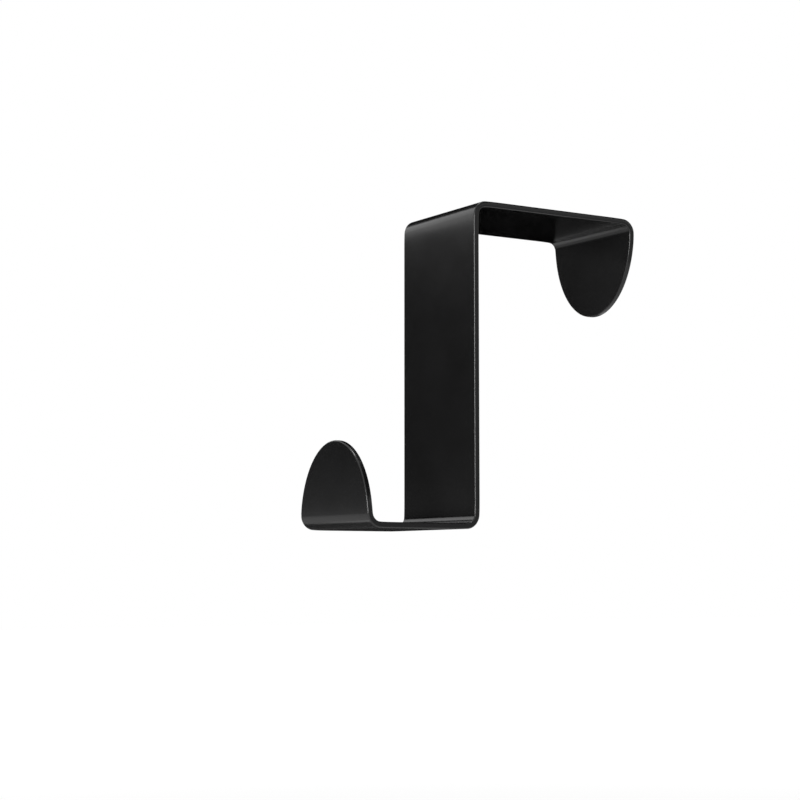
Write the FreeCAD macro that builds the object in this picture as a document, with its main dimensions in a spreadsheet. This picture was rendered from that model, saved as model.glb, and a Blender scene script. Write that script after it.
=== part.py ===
import FreeCAD, Part
import enum
import math
import os
import types
import Sketcher

# An over door hook: one steel strip, folded four times and coated all over.
# From back to front it is a rear lip, a saddle to hang it by, a long upright plate,
# a base and a front tab, and the last two form the hook. Both tips are rounded.
# X runs across the strip, -Y points to the hook's side and +Z is up.
# The origin is the centre of the seat, which is the underside of the saddle.

NODE = "over_door_hook"

# Each size in millimetres: the word it goes by, its value and what it measures.
SIZE_ROWS = (
    ("strip_width", 28.0, "strip, side to side"),
    ("strip_thickness", 1.25, "strip with its coating"),
    ("overall_height", 70.0, "underside of the base to the top of the saddle"),
    ("saddle_gap", 41.2, "clear gap between the plate and the rear lip"),
    ("hook_gap", 25.0, "clear gap between the plate and the front tab"),
    ("front_tab_height", 18.5, "underside of the base to the front tab's tip"),
    ("rear_lip_height", 20.4, "top of the saddle to the rear lip's tip"),
    ("inner_bend_radius", 2.0, "inside of all four bends"),
    ("front_tip_start", 0.2, "base's upper face to where the front tab begins to narrow"),
    ("rear_tip_start", 0.8, "saddle's underside to where the rear lip begins to narrow"),
    ("edge_radius", 0.28, "rounding of the strip's cut edges"),
)
SIZE = types.SimpleNamespace(**{word: value for word, value, _ in SIZE_ROWS})


class Axis(enum.IntEnum):
    """A sketch's own axes, as its constraints number them."""

    LEVEL = -1
    UPRIGHT = -2


class At(enum.IntEnum):
    """The points of a line or an arc, as a sketch's constraints number them."""

    START = 1
    END = 2
    CENTRE = 3


ORIGIN = (Axis.LEVEL, At.START)

# Two places closer together than this are the same one.
SAME_PLACE = 1e-4


# Sheet and sketch helpers


def make_sheet(doc):
    """The driving sizes, one in each row, with its word as the alias."""
    sheet = doc.addObject("Spreadsheet::Sheet", "sizes")
    for row, (word, value, meaning) in enumerate(SIZE_ROWS, start=1):
        sheet.set(f"A{row}", word)
        sheet.set(f"B{row}", str(value))
        sheet.set(f"C{row}", meaning)
        sheet.setAlias(f"B{row}", word)
    doc.recompute()


def new_sketch(body, name, role):
    """An empty sketch on one of the body's own planes."""
    plane = next(item for item in body.Origin.OriginFeatures if item.Role == role)
    sketch = body.newObject("Sketcher::SketchObject", name)
    sketch.AttachmentSupport = [(plane, "")]
    sketch.MapMode = "FlatFace"
    return sketch


def constrain(sketch, kind, *where):
    """A constraint that has no size."""
    sketch.addConstraint(Sketcher.Constraint(kind, *where))


def dimension(sketch, direction, first, second, text):
    """The distance along one direction from the first point to the second, as an expression."""
    gap = sketch.getPoint(*second) - sketch.getPoint(*first)
    length = gap.x if direction == "DistanceX" else gap.y
    row = sketch.addConstraint(Sketcher.Constraint(direction, *first, *second, length))
    sketch.setExpression(f"Constraints[{row}]", text)


def line_length(sketch, line, text):
    """A line's own length, as an expression."""
    span = sketch.getPoint(line, At.END) - sketch.getPoint(line, At.START)
    row = sketch.addConstraint(Sketcher.Constraint("Distance", line, span.Length))
    sketch.setExpression(f"Constraints[{row}]", text)


def add_line(sketch, start, end):
    """A level or upright line between two points, given as (x, y)."""
    ends = (FreeCAD.Vector(*start, 0), FreeCAD.Vector(*end, 0))
    line = sketch.addGeometry(Part.LineSegment(*ends), False)
    constrain(sketch, "Vertical" if start[0] == end[0] else "Horizontal", line)
    return line


def add_fillet(body, name, edges, radius):
    """A fillet along the named edges of the body so far, with its radius as an expression."""
    base = body.Tip
    fillet = body.newObject("PartDesign::Fillet", name)
    fillet.Base = (base, edges)
    fillet.setExpression("Radius", radius)


# The folded strip


def section_corners():
    """The strip's outline from the side, with square corners, as (y, z) places.

    Each tab is drawn one thickness too long here, and the cut of its tip takes that off.
    """
    thick = SIZE.strip_thickness
    gap_back = SIZE.saddle_gap / 2
    gap_front = -gap_back
    tab_inner = gap_front - thick - SIZE.hook_gap
    base = thick - SIZE.overall_height
    tab_end = base + SIZE.front_tab_height + thick
    lip_end = -SIZE.rear_lip_height
    return {
        "tab_end_outer": (tab_inner - thick, tab_end),
        "tab_bend_outer": (tab_inner - thick, base),
        "base_bend_outer": (gap_front, base),
        "saddle_bend_inner": (gap_front, 0),
        "lip_bend_inner": (gap_back, 0),
        "lip_end_inner": (gap_back, lip_end),
        "lip_end_outer": (gap_back + thick, lip_end),
        "lip_bend_outer": (gap_back + thick, thick),
        "saddle_bend_outer": (gap_front - thick, thick),
        "base_bend_inner": (gap_front - thick, base + thick),
        "tab_bend_inner": (tab_inner, base + thick),
        "tab_end_inner": (tab_inner, tab_end),
    }


def draw_section(body):
    """The square-cornered outline as a fully sized sketch."""
    sketch = new_sketch(body, "strip_section", "YZ_Plane")
    corners = section_corners()
    names = list(corners)
    steps = list(zip(names, names[1:] + names[:1]))
    at = {name: (add_line(sketch, corners[name], corners[after]), At.START) for name, after in steps}
    for name, after in steps:
        line, _ = at[name]
        constrain(sketch, "Coincident", line, At.END, *at[after])

    constrain(sketch, "PointOnObject", *at["saddle_bend_inner"], Axis.LEVEL)
    thick = "sizes.strip_thickness"
    for direction, first, second, text in (
        ("DistanceX", ORIGIN, at["lip_bend_inner"], "sizes.saddle_gap / 2"),
        ("DistanceX", at["saddle_bend_inner"], at["lip_bend_inner"], "sizes.saddle_gap"),
        ("DistanceX", at["tab_bend_inner"], at["base_bend_inner"], "sizes.hook_gap"),
        ("DistanceX", at["lip_end_inner"], at["lip_end_outer"], thick),
        ("DistanceX", at["saddle_bend_outer"], at["saddle_bend_inner"], thick),
        ("DistanceX", at["tab_end_outer"], at["tab_end_inner"], thick),
        ("DistanceY", at["lip_bend_inner"], at["lip_bend_outer"], thick),
        ("DistanceY", at["base_bend_outer"], at["base_bend_inner"], thick),
        ("DistanceY", at["tab_bend_outer"], at["saddle_bend_outer"], "sizes.overall_height"),
        ("DistanceY", at["tab_bend_outer"], at["tab_end_outer"], f"sizes.front_tab_height + {thick}"),
        ("DistanceY", at["lip_end_outer"], at["lip_bend_outer"], f"sizes.rear_lip_height + {thick}"),
    ):
        dimension(sketch, direction, first, second, text)
    return sketch


def square_strip(body):
    """The section widened to the strip's width, evenly about X = 0."""
    pad = body.newObject("PartDesign::Pad", "square_strip")
    pad.Profile = draw_section(body)
    pad.SideType = "Symmetric"
    pad.setExpression("Length", "sizes.strip_width")


def bend_edges(shape, side):
    """The edges across the strip at the four bends, on their inner or their outer side."""
    places = [at for name, at in section_corners().items() if name.endswith(f"bend_{side}")]
    found = []
    for number, edge in enumerate(shape.Edges, start=1):
        first, last = (vertex.Point for vertex in edge.Vertexes)
        across = abs(first.x - last.x) > SAME_PLACE
        if across and any(math.dist((first.y, first.z), at) < SAME_PLACE for at in places):
            found.append(f"Edge{number}")
    return found


def bend_insides(body):
    """The inner radius of each fold."""
    edges = bend_edges(body.Tip.Shape, "inner")
    add_fillet(body, "bend_insides", edges, "sizes.inner_bend_radius")


def bend_outsides(body):
    """The outer radius of each fold, about the same centre as the inner one."""
    edges = bend_edges(body.Tip.Shape, "outer")
    add_fillet(body, "bend_outsides", edges, "sizes.inner_bend_radius + sizes.strip_thickness")


# The rounded tips


def add_half_ellipse(sketch, start, tip, reach):
    """Half an ellipse about (0, start), from (reach, start) by (0, tip) to (-reach, start).

    Returns the arc and its upright and level axes, whichever of them is the longer.
    """
    centre = FreeCAD.Vector(0, start, 0)
    end = FreeCAD.Vector(reach, start, 0)
    top = FreeCAD.Vector(0, tip, 0)
    tall = abs(tip - start) > abs(reach)
    if tall:
        half = Part.ArcOfEllipse(Part.Ellipse(top, end, centre), -math.pi / 2, math.pi / 2)
    else:
        half = Part.ArcOfEllipse(Part.Ellipse(end, top, centre), 0, math.pi)
    arc = sketch.addGeometry(half, False)
    sketch.exposeInternalGeometry(arc)
    longer, shorter = arc + 1, arc + 2
    return (arc, longer, shorter) if tall else (arc, shorter, longer)


def draw_tip(body, name, start, tip, depth, length, plane):
    """The region round a half ellipse, which leaves a tab that end when it is cut away.

    start and tip are the heights between which the tab narrows. The start's depth below the
    origin, the half ellipse's length and the plane's distance along -Y are expressions.
    """
    sketch = new_sketch(body, name, "XZ_Plane")
    sketch.setExpression("AttachmentOffset.Base.z", plane)
    side = math.copysign(1, tip - start)
    half = SIZE.strip_width / 2
    arc, upright_axis, level_axis = add_half_ellipse(sketch, start, tip, side * half)

    wide = half + SIZE.strip_thickness
    beyond = tip + side * 2 * SIZE.strip_thickness
    places = [(side * half, start), (side * wide, start), (side * wide, beyond)]
    places += [(-x, y) for x, y in reversed(places)]
    lines = [add_line(sketch, *ends) for ends in zip(places, places[1:])]
    for line, after in zip(lines, lines[1:]):
        constrain(sketch, "Coincident", line, At.END, after, At.START)
    near, upright, far = lines[0], lines[1], lines[-1]
    constrain(sketch, "Coincident", arc, At.START, near, At.START)
    constrain(sketch, "Coincident", arc, At.END, far, At.END)
    constrain(sketch, "PointOnObject", arc, At.START, level_axis)
    constrain(sketch, "PointOnObject", arc, At.END, level_axis)
    constrain(sketch, "PointOnObject", arc, At.CENTRE, Axis.UPRIGHT)
    constrain(sketch, "Vertical", upright_axis)
    constrain(sketch, "Equal", near, far)

    dimension(sketch, "DistanceY", (arc, At.CENTRE), ORIGIN, depth)
    line_length(sketch, upright_axis, f"2 * ({length})")
    line_length(sketch, level_axis, "sizes.strip_width")
    line_length(sketch, near, "sizes.strip_thickness")
    line_length(sketch, upright, f"{length} + 2 * sizes.strip_thickness")
    return sketch


def cut_tip(body, name, outline, towards_hook):
    """The tip's region cut through the tab and its bend, short of what lies behind them."""
    pocket = body.newObject("PartDesign::Pocket", name)
    pocket.Profile = outline
    pocket.Reversed = towards_hook
    pocket.setExpression("Length", "sizes.strip_thickness + sizes.inner_bend_radius")


def front_tip(body):
    """The front tab's rounded upper end, cut from its outer face towards the plate."""
    base_top = 2 * SIZE.strip_thickness - SIZE.overall_height
    outline = draw_tip(
        body,
        "front_tip_outline",
        start=base_top + SIZE.front_tip_start,
        tip=base_top - SIZE.strip_thickness + SIZE.front_tab_height,
        depth="sizes.overall_height - 2 * sizes.strip_thickness - sizes.front_tip_start",
        length="sizes.front_tab_height - sizes.strip_thickness - sizes.front_tip_start",
        plane="sizes.saddle_gap / 2 + 2 * sizes.strip_thickness + sizes.hook_gap",
    )
    cut_tip(body, "front_tip", outline, towards_hook=False)


def rear_tip(body):
    """The rear lip's rounded lower end, cut from its outer face towards the plate."""
    outline = draw_tip(
        body,
        "rear_tip_outline",
        start=-SIZE.rear_tip_start,
        tip=SIZE.strip_thickness - SIZE.rear_lip_height,
        depth="sizes.rear_tip_start",
        length="sizes.rear_lip_height - sizes.strip_thickness - sizes.rear_tip_start",
        plane="-(sizes.saddle_gap / 2 + sizes.strip_thickness)",
    )
    cut_tip(body, "rear_tip", outline, towards_hook=True)


def is_broad(face):
    """Whether the face belongs to one of the strip's two broad sides, flat or bent."""
    if isinstance(face.Surface, Part.Cylinder):
        return True
    return isinstance(face.Surface, Part.Plane) and abs(face.Surface.Axis.x) < SAME_PLACE


def rounded_edges(body):
    """Every edge between a broad side and the cut side, in one loop on each broad side."""
    shape = body.Tip.Shape
    edges = [
        f"Edge{number}"
        for number, edge in enumerate(shape.Edges, start=1)
        if sum(is_broad(face) for face in shape.ancestorsOfType(edge, Part.Face)) == 1
    ]
    add_fillet(body, "rounded_edges", edges, "sizes.edge_radius")


# Building and writing


def build_hook(doc):
    """The body, made feature by feature, each of which has to change the volume the right way."""
    body = doc.addObject("PartDesign::Body", NODE)
    body.Label = NODE
    body.Placement = FreeCAD.Placement()
    volume = 0
    for feature, adds in (
        (square_strip, True),
        (bend_insides, True),
        (bend_outsides, False),
        (front_tip, False),
        (rear_tip, False),
        (rounded_edges, False),
    ):
        feature(body)
        doc.recompute()
        change = body.Shape.Volume - volume
        volume += change
        print(f"{feature.__name__}: {change:+.1f} mm3")
        if (change > 0) != adds:
            raise RuntimeError(f"{feature.__name__} changed the volume the wrong way")
    return body


def check(doc, body):
    """Stops the build unless every object is sound and the body is one valid solid."""
    for item in doc.Objects:
        if "Invalid" in item.State or "Error" in item.State:
            raise RuntimeError(f"{item.Name} is {item.State}")
        if item.TypeId == "Sketcher::SketchObject" and not item.FullyConstrained:
            raise RuntimeError(f"{item.Name} isn't fully sized")
    shape = body.Shape
    if shape.isNull() or not shape.isValid() or len(shape.Solids) != 1:
        raise RuntimeError("the body isn't one valid solid")


def main():
    doc = FreeCAD.newDocument(NODE)
    make_sheet(doc)
    body = build_hook(doc)
    check(doc, body)
    os.makedirs("parts", exist_ok=True)
    body.Shape.exportStep(f"parts/{body.Label}.step")
    print(f"{body.Label}: {body.Shape.Volume:.1f} mm3, {len(body.Shape.Faces)} faces")


main()
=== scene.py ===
# %% [markdown]
# # An over door hook in Blender
#
# The hook is one flat steel strip, 28 mm wide and 1.25 mm thick, that is
# rounded at both ends, folded four times and powder coated black. This lesson
# loads the engineer's model as a fixed frame, looks at it through the
# photograph's camera, folds a finer strip over it and gives it its finish.
#
# Everything is in metres. X runs across the strip, -Y points to the hook in
# front and +Z is up. The origin is the middle of the seat, the flat underside
# of the saddle.

# %% Load the frame
import math

import bmesh
import bpy
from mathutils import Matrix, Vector
from mathutils.bvhtree import BVHTree


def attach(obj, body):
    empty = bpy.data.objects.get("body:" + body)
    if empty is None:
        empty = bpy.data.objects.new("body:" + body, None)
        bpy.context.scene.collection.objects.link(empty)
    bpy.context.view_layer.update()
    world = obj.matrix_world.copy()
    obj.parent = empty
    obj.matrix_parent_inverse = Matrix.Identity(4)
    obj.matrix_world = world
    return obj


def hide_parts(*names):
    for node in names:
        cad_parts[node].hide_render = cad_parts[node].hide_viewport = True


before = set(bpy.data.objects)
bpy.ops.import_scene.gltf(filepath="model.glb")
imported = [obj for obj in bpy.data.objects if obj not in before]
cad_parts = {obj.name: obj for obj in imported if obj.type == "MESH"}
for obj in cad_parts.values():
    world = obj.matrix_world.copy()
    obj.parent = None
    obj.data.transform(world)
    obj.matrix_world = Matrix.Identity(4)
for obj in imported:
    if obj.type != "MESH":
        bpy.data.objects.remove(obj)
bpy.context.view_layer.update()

cad_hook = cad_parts["over_door_hook"]
MM = 0.001

# %% [markdown]
# ## The camera
#
# A photograph fixes four things: where the camera stood, where it looked, how
# far it was turned, and how long its lens was. A long lens keeps the strip's
# edges nearly parallel, a short one makes them run together. The lens and the
# place below come from the directions and lengths of the strip's own edges in
# the photograph, so the render can be laid over it.

# %% Place the camera
CAMERA_PLACE = Vector((332.957, -241.062, -77.595)) * MM
CAMERA_YAW = math.radians(32.1662)
CAMERA_PITCH = math.radians(5.3173)
CAMERA_LENS = 83.0765
SENSOR_WIDTH = 36.0

look = Vector(
    (
        -math.cos(CAMERA_YAW) * math.cos(CAMERA_PITCH),
        math.sin(CAMERA_YAW) * math.cos(CAMERA_PITCH),
        math.sin(CAMERA_PITCH),
    )
)
camera = bpy.data.objects.new("camera", bpy.data.cameras.new("camera"))
bpy.context.scene.collection.objects.link(camera)
camera.location = CAMERA_PLACE
camera.rotation_mode = "QUATERNION"
camera.rotation_quaternion = look.to_track_quat("-Z", "Y")
camera.data.lens = CAMERA_LENS
camera.data.sensor_width = SENSOR_WIDTH
camera.data.clip_start, camera.data.clip_end = 0.01, 20.0
bpy.context.scene.camera = camera
print("camera is", round(CAMERA_PLACE.length / MM), "mm from the seat")

# %% [markdown]
# ## The strip and its folds
#
# The sizes below are the engineer's. The strip has five flats: the lip at the
# rear, the saddle, the plate that hangs down the front, the base and the tab.
# Each is placed by the middle of its sheet.
#
# Sheet doesn't leave the flat on a sharp line: outside the round of a fold
# the bend fades out over a few millimetres, so a glow on the fold runs out
# softly on the flat next to it. Each fold is therefore a list of rows, and
# each row has a length and an angle. The angles double from row to row until
# the round of the fold begins. From the list follow the length that a fold
# uses up and its reach, the distance from its first row to the corner where
# the two flats would meet.

# %% Sizes of the strip
WIDTH = 28.0 * MM
THICKNESS = 1.25 * MM
EDGE_RADIUS = 0.28 * MM

SADDLE_MIDDLE = 0.625 * MM
PLATE_MIDDLE = -21.225 * MM
BASE_MIDDLE = -68.125 * MM
PLATE_TO_LIP = 42.45 * MM
PLATE_TO_TAB = 26.25 * MM

# %% Rows of a fold
FOLD_RADIUS = 2.5 * MM
ROUND_ROWS = 24
FADING_ROWS = 6
FADING_LENGTH = 0.85 * MM
FIRST_TURN = math.radians(0.05)

fading = [(FADING_LENGTH, FIRST_TURN * 2**i) for i in range(FADING_ROWS)]
turn_left = math.pi / 2 - 2 * sum(turn for length, turn in fading)
round_row = (FOLD_RADIUS * turn_left / ROUND_ROWS, turn_left / ROUND_ROWS)
ROWS = fading + [round_row] * ROUND_ROWS + fading[::-1]

FOLD_LENGTH = sum(length for length, turn in ROWS)
FOLD_REACH = angle = 0.0
for length, turn in ROWS:
    FOLD_REACH += length / turn * (math.sin(angle + turn) - math.sin(angle))
    angle += turn
print("a fold reaches", round(FOLD_REACH / MM, 3), "mm from its corner")

# %% [markdown]
# ## The blank
#
# A maker starts with a flat blank: a long strip whose two ends are half
# ellipses. A circle whose upper half is pulled away from its lower half is
# just that outline, once each half is stretched along the strip. Drawing the
# blank flat and folding it afterwards keeps the outline a true ellipse and
# gives every fold the same thickness, as on the real part.
#
# The blank stands in the plane of the plate. Above the plate come the saddle
# and the lip, below it the base and the tab. Each end begins to narrow a
# little beyond its last corner.

# %% Lines of the blank
LIP_NARROWS = 1.425 * MM
LIP_LENGTH = 18.35 * MM
TAB_NARROWS = 0.825 * MM
TAB_LENGTH = 17.05 * MM
PLATE_FRONT = PLATE_MIDDLE - THICKNESS / 2

TOP_FOLD = SADDLE_MIDDLE - FOLD_REACH
REAR_FOLD = TOP_FOLD + FOLD_LENGTH + PLATE_TO_LIP - 2 * FOLD_REACH
LIP_CENTRE = REAR_FOLD + FOLD_LENGTH - FOLD_REACH + LIP_NARROWS

BASE_FOLD = BASE_MIDDLE + FOLD_REACH
TAB_FOLD = BASE_FOLD - FOLD_LENGTH - PLATE_TO_TAB + 2 * FOLD_REACH
TAB_CENTRE = TAB_FOLD - FOLD_LENGTH + FOLD_REACH - TAB_NARROWS

blank_length = LIP_CENTRE + LIP_LENGTH - TAB_CENTRE + TAB_LENGTH
print("the blank is", round(blank_length / MM, 1), "mm long")


# %% Two helpers for work in edit mode
def pick(mesh, kind, wanted):
    """Selects the verts, edges or faces that pass a test, and nothing else."""
    shape = bmesh.from_edit_mesh(mesh)
    bpy.context.tool_settings.mesh_select_mode = (
        kind == "verts",
        kind == "edges",
        kind == "faces",
    )
    bpy.ops.mesh.select_all(action="DESELECT")
    chosen = [item for item in getattr(shape, kind) if wanted(item)]
    for item in chosen:
        item.select_set(True)
    shape.select_flush_mode()
    bmesh.update_edit_mesh(mesh)
    return len(chosen)


def count(piece):
    """Says how large a mesh has become."""
    points, faces = len(piece.data.vertices), len(piece.data.polygons)
    print(piece.name, "has", points, "points and", faces, "faces")


# %% Cut the outline
OUTLINE_POINTS = 128

half_step = math.pi / OUTLINE_POINTS
bpy.ops.object.select_all(action="DESELECT")
bpy.ops.mesh.primitive_circle_add(
    vertices=OUTLINE_POINTS,
    radius=WIDTH / 2 / math.cos(half_step),
    fill_type="NGON",
    location=(0, PLATE_FRONT, TAB_CENTRE),
    rotation=(math.pi / 2, half_step, 0),
)
strip = bpy.context.active_object
strip.name = strip.data.name = "folded_strip"
bpy.ops.object.transform_apply(location=True, rotation=True, scale=True)

bpy.ops.object.mode_set(mode="EDIT")
moved = pick(strip.data, "verts", lambda v: v.co.z > TAB_CENTRE)
bpy.ops.transform.translate(value=(0, 0, LIP_CENTRE - TAB_CENTRE))
for centre, length, side in (
    (LIP_CENTRE, LIP_LENGTH, 1),
    (TAB_CENTRE, TAB_LENGTH, -1),
):
    pick(strip.data, "verts", lambda v: (v.co.z - centre) * side > 0)
    bpy.ops.transform.resize(
        value=(1, 1, length / (WIDTH / 2)),
        center_override=(0, PLATE_FRONT, centre),
    )
bpy.ops.object.mode_set(mode="OBJECT")
print(moved, "points went to the upper end")

# %% [markdown]
# ## Thickness and soft edges
#
# Sheet steel is cut with a square edge, and tumbling and the coat make it
# round. That small radius matters more than its size suggests: it catches the
# lamp as the thin bright line that runs round the whole strip. The blank is
# extruded by the sheet's thickness and both rims are bevelled while it is
# still flat, because one loop of edges then takes the bevel evenly.

# %% Give the blank its thickness and round its rims
RIM_SEGMENTS = 5

bpy.ops.object.mode_set(mode="EDIT")
bpy.ops.mesh.select_all(action="SELECT")
bpy.ops.mesh.extrude_region_move(
    TRANSFORM_OT_translate={"value": (0, THICKNESS, 0)}
)
bpy.ops.mesh.select_all(action="SELECT")
bpy.ops.mesh.normals_make_consistent(inside=False)
rims = pick(
    strip.data,
    "edges",
    lambda e: abs(e.verts[0].co.y - e.verts[1].co.y) < THICKNESS / 2,
)
bpy.ops.mesh.bevel(
    offset=EDGE_RADIUS,
    offset_type="OFFSET",
    segments=RIM_SEGMENTS,
    profile=0.5,
    affect="EDGES",
    clamp_overlap=False,
)
bpy.ops.object.mode_set(mode="OBJECT")
print("both rims were rounded along", rims, "edges")
count(strip)

# %% [markdown]
# ## Fold lines
#
# A flat face can't fold where it has no edge. The blank is cut across with a
# row of bisecting planes wherever it will bend, close enough together that
# the fold looks round from nearby. The flat stretches between the folds need
# no rows at all.

# %% Cut the rows for each fold
UPWARD, DOWNWARD = 1, -1

bpy.ops.object.mode_set(mode="EDIT")
for first, direction in (
    (TOP_FOLD, UPWARD),
    (REAR_FOLD, UPWARD),
    (BASE_FOLD, DOWNWARD),
    (TAB_FOLD, DOWNWARD),
):
    for step in range(len(ROWS) + 1):
        beyond = sum(length for length, turn in ROWS[:step])
        bpy.ops.mesh.select_all(action="SELECT")
        bpy.ops.mesh.bisect(
            plane_co=(0, 0, first + direction * beyond),
            plane_no=(0, 0, 1),
            threshold=1e-7,
        )
bpy.ops.object.mode_set(mode="OBJECT")
count(strip)

# %% [markdown]
# ## Folding
#
# A press brake turns the free end of the blank a little at a time. The same
# is done here row by row: all that lies beyond a row moves back by the row's
# length and turns by its angle round an axis that lies one radius away from
# the middle of the sheet. Every row then ends exactly on its arc, with the
# same thickness all round, which a bend modifier gives only roughly. The
# outer fold at each end goes first, while the rest is still flat.
#
# The free end is found by its place. It begins a quarter of a row before the
# line, so that rounding never leaves a point of the line behind. What has
# once left the plane of the plate belongs to it too, wherever it has swung.

# %% Fold the ends
SWUNG_OUT = 0.1 * MM


def fold(first, direction):
    """Turns all beyond a line of the blank by a right angle, row by row."""
    surface = PLATE_MIDDLE + direction * THICKNESS / 2
    row = first + direction * FOLD_LENGTH
    for length, turn in reversed(ROWS):
        limit = row - direction * length / 4
        pick(
            strip.data,
            "verts",
            lambda v: (v.co.z - limit) * direction > 0
            or (v.co.y - surface) * direction > SWUNG_OUT,
        )
        row -= direction * length
        axis = (0, PLATE_MIDDLE + direction * length / turn, row)
        bpy.ops.transform.translate(value=(0, 0, -direction * length))
        bpy.ops.transform.rotate(
            value=turn, orient_axis="X", center_override=axis
        )


bpy.ops.object.mode_set(mode="EDIT")
fold(REAR_FOLD, UPWARD)
fold(TOP_FOLD, UPWARD)
fold(TAB_FOLD, DOWNWARD)
fold(BASE_FOLD, DOWNWARD)
bpy.ops.mesh.select_all(action="SELECT")
bpy.ops.mesh.normals_make_consistent(inside=False)
bpy.ops.object.mode_set(mode="OBJECT")
for i, letter in enumerate("XYZ"):
    reach = [round(v.co[i] / MM, 2) for v in strip.data.vertices]
    print("folded strip,", letter, "in mm:", min(reach), "to", max(reach))

# %% [markdown]
# ## Smooth shading
#
# Smooth shading blends the direction of neighbouring faces. Left alone it
# would also tilt the flat stretches where they meet a fold. The Weighted
# Normal modifier lets the largest face decide, so flats stay flat and the
# folds and rims stay round.

# %% Shade the strip and compare it with the CAD node
bpy.ops.object.shade_smooth()
strip.modifiers.new("flat stays flat", "WEIGHTED_NORMAL")
bpy.ops.object.modifier_apply(modifier="flat stays flat")

cad_surface = BVHTree.FromPolygons(
    [v.co for v in cad_hook.data.vertices],
    [p.vertices for p in cad_hook.data.polygons],
)
gaps = [cad_surface.find_nearest(v.co)[3] for v in strip.data.vertices]
print("furthest from the CAD surface in mm:", round(max(gaps) / MM, 3))
count(strip)

# %% [markdown]
# ## A small language for materials
#
# A material is a graph of nodes, and long graphs are hard to read in code.
# The class below wraps one output of a node, so that arithmetic on it adds
# the Math nodes by itself. Its method node adds a node of any other kind.
# Inputs are given by name, or by number where a node has several inputs of
# one name, as the Mix node has.


# %% Wrap a socket
class Wire:
    """One output of a node, with arithmetic; the graph when it has none."""

    def __init__(self, graph, socket=None):
        self.graph, self.socket = graph, socket

    def node(self, kind, settings=None, inputs=None, output=0):
        """Adds a node, sets its settings and inputs, and wraps an output."""
        added = self.graph.nodes.new(kind)
        for name, value in (settings or {}).items():
            setattr(added, name, value)
        for name, value in (inputs or {}).items():
            if isinstance(value, Wire):
                self.graph.links.new(value.socket, added.inputs[name])
            else:
                added.inputs[name].default_value = value
        outputs = added.outputs
        return Wire(self.graph, outputs[output] if outputs else None)

    def maths(self, operation, first, second):
        return self.node(
            "ShaderNodeMath", {"operation": operation}, {0: first, 1: second}
        )

    def __add__(self, other):
        return self.maths("ADD", self, other)

    def __sub__(self, other):
        return self.maths("SUBTRACT", self, other)

    def __rsub__(self, other):
        return self.maths("SUBTRACT", other, self)

    def __mul__(self, other):
        return self.maths("MULTIPLY", self, other)

    __radd__ = __add__
    __rmul__ = __mul__


# %% Helpers that every material uses
MIX_FACTOR, MIX_FIRST, MIX_SECOND, MIX_COLOUR = 0, 6, 7, 2


def new_material(name):
    """Makes an empty node material and wraps its graph."""
    material = bpy.data.materials.new(name)
    material.use_nodes = True
    material.node_tree.nodes.clear()
    return material, Wire(material.node_tree)


def grey(level):
    """A neutral colour."""
    return (level, level, level, 1)


def mix(graph, factor, first, second):
    """Goes from one colour to another as the factor goes from 0 to 1."""
    return graph.node(
        "ShaderNodeMix",
        {"data_type": "RGBA"},
        {MIX_FACTOR: factor, MIX_FIRST: first, MIX_SECOND: second},
        MIX_COLOUR,
    )


def ramp(graph, value, start, end):
    """Goes softly from 0 to 1 while the value goes from start to end."""
    return graph.node(
        "ShaderNodeMapRange",
        {"interpolation_type": "SMOOTHSTEP"},
        {"Value": value, "From Min": start, "From Max": end},
    )


# %% [markdown]
# ## The powder coat
#
# Powder is sprayed on dry and melts in an oven into a thick, even skin. It
# levels almost fully, so the finish is satin: lamps show in it as soft
# glows. Close up it has two textures, a low orange peel about a millimetre
# across from the powder flowing together, and a much finer grain that
# scatters the light. Both are height, so they go through Bump nodes. Where
# the film is a little thicker it is also a little deeper in colour and
# glossier, and that small unevenness goes to Base Color and Roughness.

# %% Mix the powder coat
ORANGE_PEEL_WIDTH = 1.6 * MM
GRAIN_WIDTH = 0.22 * MM
FILM_WIDTH = 9.0 * MM
ORANGE_PEEL_HEIGHT = 0.004 * MM
GRAIN_HEIGHT = 0.0012 * MM
DEEP_BLACK = (0.0062, 0.0062, 0.0063, 1)
PALE_BLACK = (0.0086, 0.0086, 0.0088, 1)
ROUGHNESS = 0.19
FILM_CHANGES_ROUGHNESS = 0.08
GRAIN_CHANGES_ROUGHNESS = 0.03

coat_material, coat = new_material("satin_black_powder_coat")
place = coat.node("ShaderNodeTexCoord", output="Object")


def noise(width, detail):
    """Noise round 0.5 whose lumps are about one width across."""
    return coat.node(
        "ShaderNodeTexNoise",
        inputs={"Vector": place, "Scale": 1 / width, "Detail": detail},
        output="Fac",
    )


orange_peel = noise(ORANGE_PEEL_WIDTH, detail=1.0)
grain = noise(GRAIN_WIDTH, detail=2.0)
film = noise(FILM_WIDTH, detail=2.0)

peel_bump = coat.node(
    "ShaderNodeBump",
    inputs={
        "Height": orange_peel,
        "Strength": 1.0,
        "Distance": ORANGE_PEEL_HEIGHT,
    },
)
grain_bump = coat.node(
    "ShaderNodeBump",
    inputs={
        "Height": grain,
        "Strength": 1.0,
        "Distance": GRAIN_HEIGHT,
        "Normal": peel_bump,
    },
)
film_roughness = (film - 0.5) * FILM_CHANGES_ROUGHNESS
grain_roughness = (grain - 0.5) * GRAIN_CHANGES_ROUGHNESS
skin = coat.node(
    "ShaderNodeBsdfPrincipled",
    inputs={
        "Base Color": mix(coat, film, DEEP_BLACK, PALE_BLACK),
        "Roughness": ROUGHNESS + film_roughness + grain_roughness,
        "IOR": 1.45,
        "Normal": grain_bump,
    },
)
coat.node("ShaderNodeOutputMaterial", inputs={"Surface": skin})

strip.data.materials.clear()
strip.data.materials.append(coat_material)
cad_hook.material_slots[0].material = coat_material
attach(strip, "root")
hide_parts("over_door_hook")
print("coated", strip.name)

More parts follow.
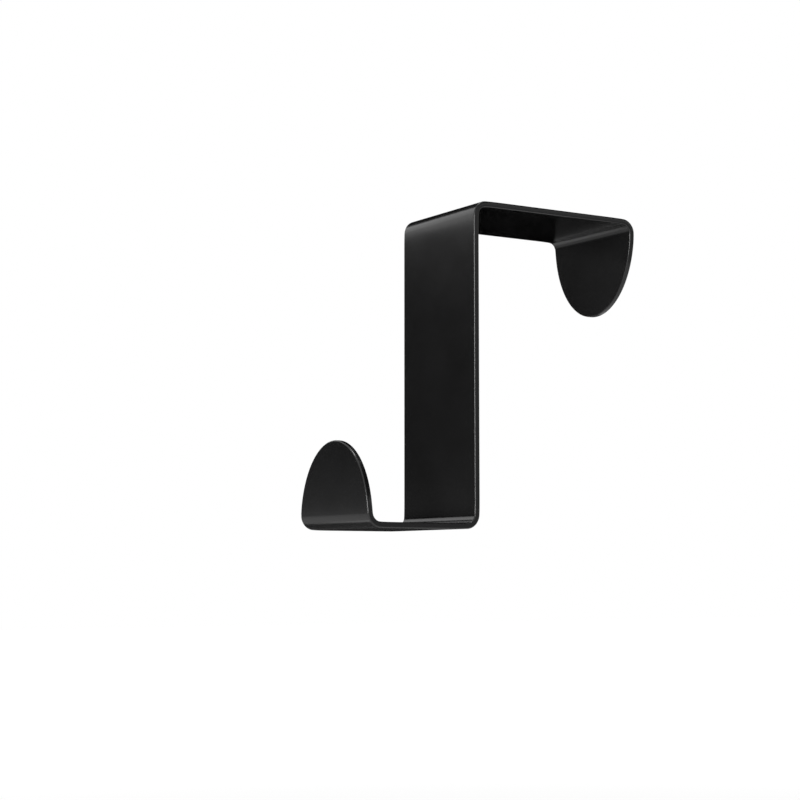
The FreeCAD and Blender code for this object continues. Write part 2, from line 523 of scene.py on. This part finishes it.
# %% [markdown]
# ## Floor and background
#
# The background of the photograph is plain white paper. White paper that is
# simply lit until it is white would flood a black object with light, so the
# world keeps a moderate grey for lighting and shows white only to rays that
# come from the camera, or from it by way of a gloss. The floor lies well
# below the hook, since the hook hangs, and keeps a soft shadow. Its own glow,
# seen by the same rays, grows with the distance from the hook, where less
# lamplight reaches it, so that no line shows where it meets the background.

# %% Lay the floor
FLOOR_HEIGHT = -0.22
FLOOR_SIZE = 8
PAPER_WHITE = 0.6
NEAR_GLOW = 0.53
FAR_GLOW = 0.95
GLOW_STARTS = 0.25
GLOW_ENDS = 1.6


def seen_rays(graph):
    """1 for rays from the camera, by way of a gloss or a glass too."""
    camera_ray, gloss_ray, glass_ray = (
        graph.node("ShaderNodeLightPath", output=name)
        for name in ("Is Camera Ray", "Is Glossy Ray", "Is Transmission Ray")
    )
    return graph.maths("MINIMUM", camera_ray + gloss_ray + glass_ray, 1.0)


bpy.ops.object.select_all(action="DESELECT")
bpy.ops.mesh.primitive_plane_add(
    size=FLOOR_SIZE, location=(0, 0, FLOOR_HEIGHT)
)
floor = bpy.context.active_object
floor.name = "floor"

paper_material, paper = new_material("white_paper")
spot = paper.node("ShaderNodeTexCoord", output="Object")
away = paper.node(
    "ShaderNodeVectorMath", {"operation": "LENGTH"}, {0: spot}, "Value"
)
far = ramp(paper, away, GLOW_STARTS, GLOW_ENDS)
glow_colour = mix(paper, far, grey(NEAR_GLOW), grey(FAR_GLOW))
matte = paper.node(
    "ShaderNodeBsdfDiffuse", inputs={"Color": grey(PAPER_WHITE)}
)
glow = paper.node("ShaderNodeEmission", inputs={"Color": glow_colour})
seen_glow = paper.node(
    "ShaderNodeMixShader", inputs={0: seen_rays(paper), 2: glow}
)
sheet = paper.node("ShaderNodeAddShader", inputs={0: matte, 1: seen_glow})
paper.node("ShaderNodeOutputMaterial", inputs={"Surface": sheet})
floor.data.materials.append(paper_material)
print("floor at", FLOOR_HEIGHT, "m")

# %% Set the world
AMBIENT = 0.3

world = bpy.data.worlds.new("studio")
bpy.context.scene.world = world
world.use_nodes = True
world.node_tree.nodes.clear()
sky = Wire(world.node_tree)
lighting = sky.node("ShaderNodeBackground", inputs={"Color": grey(AMBIENT)})
backdrop = sky.node("ShaderNodeBackground", inputs={"Color": grey(1)})
studio = sky.node(
    "ShaderNodeMixShader", inputs={0: seen_rays(sky), 1: lighting, 2: backdrop}
)
sky.node("ShaderNodeOutputWorld", inputs={"Surface": studio})
print("the world lights with a grey of", AMBIENT)

# %% [markdown]
# ## Lamps
#
# A satin black object shows little of its own colour and a lot of what stands
# round it, so each lamp is placed for its reflection. The key lamp stands in
# front of the plate and a little to the right. No flat side mirrors it, only
# the rounded rims do, as thin bright lines. The side lamp is a large soft box
# on the left. The upper front fold mirrors it as a broad glow that ends
# softly a few millimetres down the plate, and the fold at the plate's foot
# mirrors it once more. The top lamp is small and high, so that the hook's
# shadow on the floor keeps some shape.

# %% Hang the lamps
MIDDLE = Vector((0, -0.013, -0.034))


def round_hook(azimuth, distance, height):
    """A place round the hook: azimuth 0 is -X and 90 is +Y."""
    turn = math.radians(azimuth)
    along = math.cos(turn) * distance
    across = math.sin(turn) * distance
    return Vector((-along, MIDDLE.y + across, height))


def soft_lamp(name, place, aim, width, height, radiance):
    """A rectangular lamp; a radiance of 1 is as bright as white paper."""
    light = bpy.data.lights.new(name, "AREA")
    light.shape = "RECTANGLE"
    light.size, light.size_y = width, height
    light.energy = radiance * width * height * math.pi
    lamp = bpy.data.objects.new(name, light)
    bpy.context.scene.collection.objects.link(lamp)
    lamp.location = place
    lamp.rotation_mode = "QUATERNION"
    lamp.rotation_quaternion = (aim - place).to_track_quat("-Z", "Y")
    lamp.visible_camera = False
    print(name, "takes", round(light.energy, 2), "W")


key_place = round_hook(azimuth=-110, distance=1.0, height=0.10)
soft_lamp("key_lamp", key_place, MIDDLE, 0.3, 0.35, radiance=20.0)
side_place = round_hook(azimuth=-24, distance=0.63, height=0.306)
side_aim = Vector((MIDDLE.x, MIDDLE.y, side_place.z))
soft_lamp("side_lamp", side_place, side_aim, 0.51, 0.354, radiance=0.53)
top_place = Vector((-0.1, -0.1, 1.2))
soft_lamp("top_lamp", top_place, MIDDLE, 0.35, 0.35, radiance=14.5)

# %% [markdown]
# ## Flags
#
# Photographers stand cards, called flags, round a dark glossy object. These
# flags are glowing cards that show only in reflections: black where the hook
# should mirror black, and grey where it should mirror less than the white
# room, so their greys are painted reflections. Each flag here serves one part.
# The side flag keeps the plate, the front tab and the rear lip deep, and the
# foot flag, whose painted reflection grows paler towards its foot, ends the
# soft band on the fold under the front tab.
# The lip flag tones down the fold above the rear lip. The back flag darkens
# the crest of the upper fold and the underside of the saddle, the low flag
# the lowest part of the front fold. The edge flag greys the straight cut
# edges and the roof flag the curved ones. All of them act on reflections
# alone, so they take no light from the floor and stay out of every view.
#
# The list gives for each flag the two azimuths between which it stands, its
# distance, the heights of its foot and its top, the painted reflection grey of
# its foot and the painted reflection grey of its top. One grey goes over into
# the other between FOOT_ENDS and TOP_BEGINS, which are shares of the card's
# height.

# %% Stand the flags
FOOT_ENDS = 0.42
TOP_BEGINS = 0.88


def flag(name, azimuths, distance, heights, foot_painted_reflection, top_painted_reflection):
    """A vertical card between two azimuths, turned to the hook, that glows
    with a painted reflection seen only in reflections.
    """
    first, last = (math.radians(a) for a in azimuths)
    middle = (first + last) / 2
    width = 2 * distance * math.tan((last - first) / 2)
    bpy.ops.object.select_all(action="DESELECT")
    bpy.ops.mesh.primitive_plane_add(
        size=1,
        location=round_hook(math.degrees(middle), distance, sum(heights) / 2),
        rotation=(math.pi / 2, 0, math.pi / 2 - middle),
    )
    card = bpy.context.active_object
    card.name = name
    card.scale = (width, heights[1] - heights[0], 1)
    card.visible_camera = False
    card.visible_diffuse = False
    card.visible_shadow = False

    card_material, paint = new_material(name)
    spot = paint.node("ShaderNodeTexCoord", output="Object")
    from_centre = paint.node(
        "ShaderNodeSeparateXYZ", inputs={0: spot}, output="Y"
    )
    height_share = from_centre + 0.5
    fade = ramp(paint, height_share, FOOT_ENDS, TOP_BEGINS)
    # the card's glowing colour is a painted reflection: only reflected rays
    # see it
    colour = mix(paint, fade, grey(foot_painted_reflection), grey(top_painted_reflection))
    glow = paint.node("ShaderNodeEmission", inputs={"Color": colour})
    paint.node("ShaderNodeOutputMaterial", inputs={"Surface": glow})
    card.data.materials.append(card_material)
    print(name, "is", round(width, 2), "m wide")


# the two greys of each card are painted reflections, not lit card colours
for settings in (
    ("side_flag", (-62, -12), 0.57, (-0.100, 0.120), 0.02, 0.02),
    ("foot_flag", (-62, -12), 0.29, (-0.218, 0.002), 0.62, 0.02),
    ("lip_flag", (-22, 5), 0.06, (-0.014, 0.017), 0.12, 0.12),
    ("back_flag", (-11.5, 62), 0.15, (-0.090, 0.2), 0.0, 0.0),
    ("low_flag", (-30.5, 40), 0.08, (-0.140, -0.080), 0.07, 0.07),
    ("edge_flag", (115, 175), 0.40, (-0.150, 0.080), 0.42, 0.42),
    ("roof_flag", (60, 176), 0.30, (0.100, 0.500), 0.0, 0.0),
):
    flag(*settings)

# %% [markdown]
# ## Finish
#
# The view is left plain, so a colour in the render is the colour in the
# material under this light.

# %% Finish
bpy.context.scene.view_settings.view_transform = "Standard"
